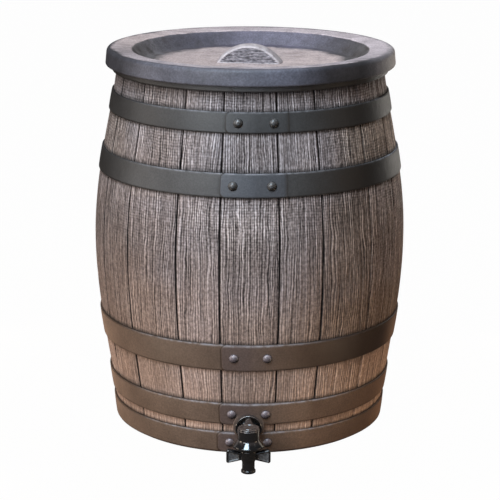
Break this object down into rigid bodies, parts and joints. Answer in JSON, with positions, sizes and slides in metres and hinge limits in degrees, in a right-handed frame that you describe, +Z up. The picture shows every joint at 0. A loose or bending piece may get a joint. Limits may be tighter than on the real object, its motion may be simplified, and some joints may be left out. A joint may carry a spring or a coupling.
{
  "type": "rain barrel",
  "caption": "Moulded rain barrel in the form of an oak cask, with riveted hoops, a dished lift-off lid with a half-round grip and a quarter-turn tap low on the front.",
  "frame": {"origin": "centre of the flat base, on the ground", "axes": "+Z up along the barrel's axis, -Y towards the front where the tap is, +X to the right seen from the front"},
  "size_m": [0.402, 0.4599, 0.4913],
  "materials": {
    "barrel_wood": "moulded wood grain with rubbed-back paint",
    "upper_hoop_slate": "matt slate paint",
    "lower_hoop_brown": "matt brown paint",
    "rivet_slate": "matt paint, rubbed on the crown",
    "lid_slate": "matt slate paint with a pale worn top",
    "tap_black": "glossy moulded black",
    "gasket_rubber": "matt",
    "clip_steel": "plain spring steel"
  },
  "bodies": {
    "barrel": {"barrel_shell": "barrel_wood", "base_hoop": "lower_hoop_brown", "lower_hoop": "lower_hoop_brown", "lower_bulge_hoop": "lower_hoop_brown", "upper_bulge_hoop": "upper_hoop_slate", "upper_hoop": "upper_hoop_slate", "rim_hoop": "upper_hoop_slate", "hoop_rivets": "rivet_slate", "flange_gasket": "gasket_rubber", "tap_body": "tap_black", "tap_cap": "tap_black", "inner_gasket": "gasket_rubber", "back_nut": "tap_black"},
    "lid": {"lid": "lid_slate", "lid_grip": "lid_slate"},
    "nozzle": {"tap_nozzle": "tap_black", "nozzle_rings": "gasket_rubber", "nozzle_clip": "clip_steel"}
  },
  "joints": [
    {"name": "lid_lift", "type": "slide", "parent": "barrel", "child": "lid", "axis": [0, 0, 1], "range_m": [0, 0.25]},
    {"name": "nozzle_turn", "type": "hinge", "parent": "barrel", "child": "nozzle", "pos_m": [0, -0.23967, 0.03], "axis": [0, 0, 1], "range_deg": [0, 90]}
  ]
}
